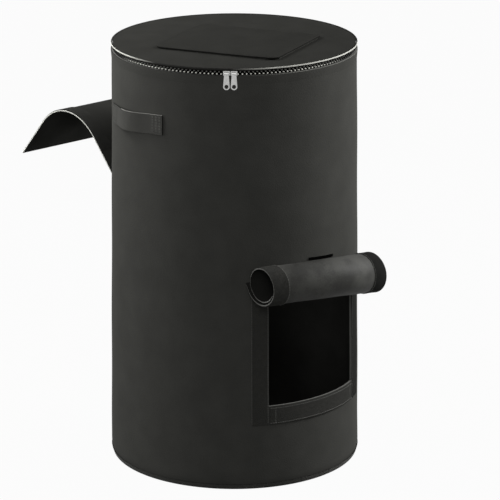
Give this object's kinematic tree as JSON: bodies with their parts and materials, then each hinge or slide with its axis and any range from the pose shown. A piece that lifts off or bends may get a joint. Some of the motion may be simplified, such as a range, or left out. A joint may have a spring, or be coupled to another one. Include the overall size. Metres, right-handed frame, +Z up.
{
  "type": "compost bin",
  "caption": "Round charcoal cloth compost bin with a zipped lid, a feed hatch, carrying straps, a rolled-up front door flap and a second door flap thrown up at the back.",
  "frame": {"origin": "centre of the round base on the ground", "axes": "+Z up, -Y out of the front door, +X to the right of someone facing that door"},
  "size_m": [0.478, 0.7702, 0.7847],
  "materials": {
    "body_cloth": "charcoal laminated non-woven cloth, matt with a faint sheen",
    "facing_cloth": "darker charcoal cloth with stitched edges",
    "binding_tape": "folded charcoal binding tape",
    "webbing": "charcoal webbing with rows of stitching",
    "hook_and_loop": "black hook-and-loop pile",
    "zip_tape": "black woven zip tape",
    "zip_metal": "dull silver zip teeth",
    "slider_metal": "die-cast zip slider and pull, satin nickel"
  },
  "bodies": {
    "bin": {"wall_panel": "body_cloth", "base_panel": "body_cloth", "base_binding": "binding_tape", "rim_binding": "binding_tape", "front_door_facing": "facing_cloth", "back_door_facing": "facing_cloth", "front_door_loop_left": "hook_and_loop", "front_door_loop_right": "hook_and_loop", "front_door_loop_bottom": "hook_and_loop", "back_door_loop_left": "hook_and_loop", "back_door_loop_right": "hook_and_loop", "back_door_loop_bottom": "hook_and_loop", "roll_keeper_tab": "binding_tape", "zip_tape_lower": "zip_tape", "zip_teeth_lower": "zip_metal", "zip_end_stops": "zip_metal", "lid_hinge_strip": "binding_tape", "handle_left": "webbing", "handle_right": "webbing"},
    "lid": {"lid_panel": "body_cloth", "lid_binding": "binding_tape", "zip_tape_upper": "zip_tape", "zip_teeth_upper": "zip_metal", "hatch_loop_left": "hook_and_loop", "hatch_loop_right": "hook_and_loop", "hatch_loop_near": "hook_and_loop", "hatch_hinge_strip": "binding_tape"},
    "hatch": {"hatch_flap": "body_cloth", "hatch_hook_left": "hook_and_loop", "hatch_hook_right": "hook_and_loop", "hatch_hook_near": "hook_and_loop"},
    "front_flap": {"front_door_flap": "body_cloth", "front_door_hook_left": "hook_and_loop", "front_door_hook_right": "hook_and_loop", "front_door_hook_bottom": "hook_and_loop"},
    "back_flap": {"back_door_flap": "body_cloth", "back_door_hook_left": "hook_and_loop", "back_door_hook_right": "hook_and_loop", "back_door_hook_bottom": "hook_and_loop"},
    "slider_left": {"slider_left": "slider_metal"},
    "slider_right": {"slider_right": "slider_metal"},
    "pull_left": {"pull_left": "slider_metal"},
    "pull_right": {"pull_right": "slider_metal"}
  },
  "joints": [
    {"name": "lid_hinge", "type": "hinge", "parent": "bin", "child": "lid", "pos_m": [0.15521, 0.16185, 0.77715], "axis": [-0.7218, 0.6921, 0], "range_deg": [0, 170]},
    {"name": "hatch_hinge", "type": "hinge", "parent": "lid", "child": "hatch", "pos_m": [0.088, 0.02187, 0.78215], "axis": [-0.3987, 0.9171, 0], "range_deg": [0, 115]},
    {"name": "front_flap_seam", "type": "hinge", "parent": "bin", "child": "front_flap", "pos_m": [0, -0.22995, 0.41], "axis": [-1, 0, 0], "range_deg": [0, 40]},
    {"name": "back_flap_seam", "type": "hinge", "parent": "bin", "child": "back_flap", "pos_m": [0, 0.22682, 0.5], "axis": [-1, 0, 0], "range_deg": [0, 85]},
    {"name": "slider_left_run", "type": "hinge", "parent": "bin", "child": "slider_left", "pos_m": [0, 0, 0.7723], "axis": [0, 0, 1], "range_deg": [-146, 0]},
    {"name": "slider_right_run", "type": "hinge", "parent": "bin", "child": "slider_right", "pos_m": [0, 0, 0.7723], "axis": [0, 0, 1], "range_deg": [0, 146]},
    {"name": "pull_left_swing", "type": "hinge", "parent": "slider_left", "child": "pull_left", "pos_m": [-0.16081, -0.15815, 0.7723], "axis": [-0.7012, 0.713, 0], "range_deg": [0, 150]},
    {"name": "pull_right_swing", "type": "hinge", "parent": "slider_right", "child": "pull_right", "pos_m": [-0.15128, -0.16729, 0.7723], "axis": [-0.7417, 0.6707, 0], "range_deg": [0, 150]}
  ]
}
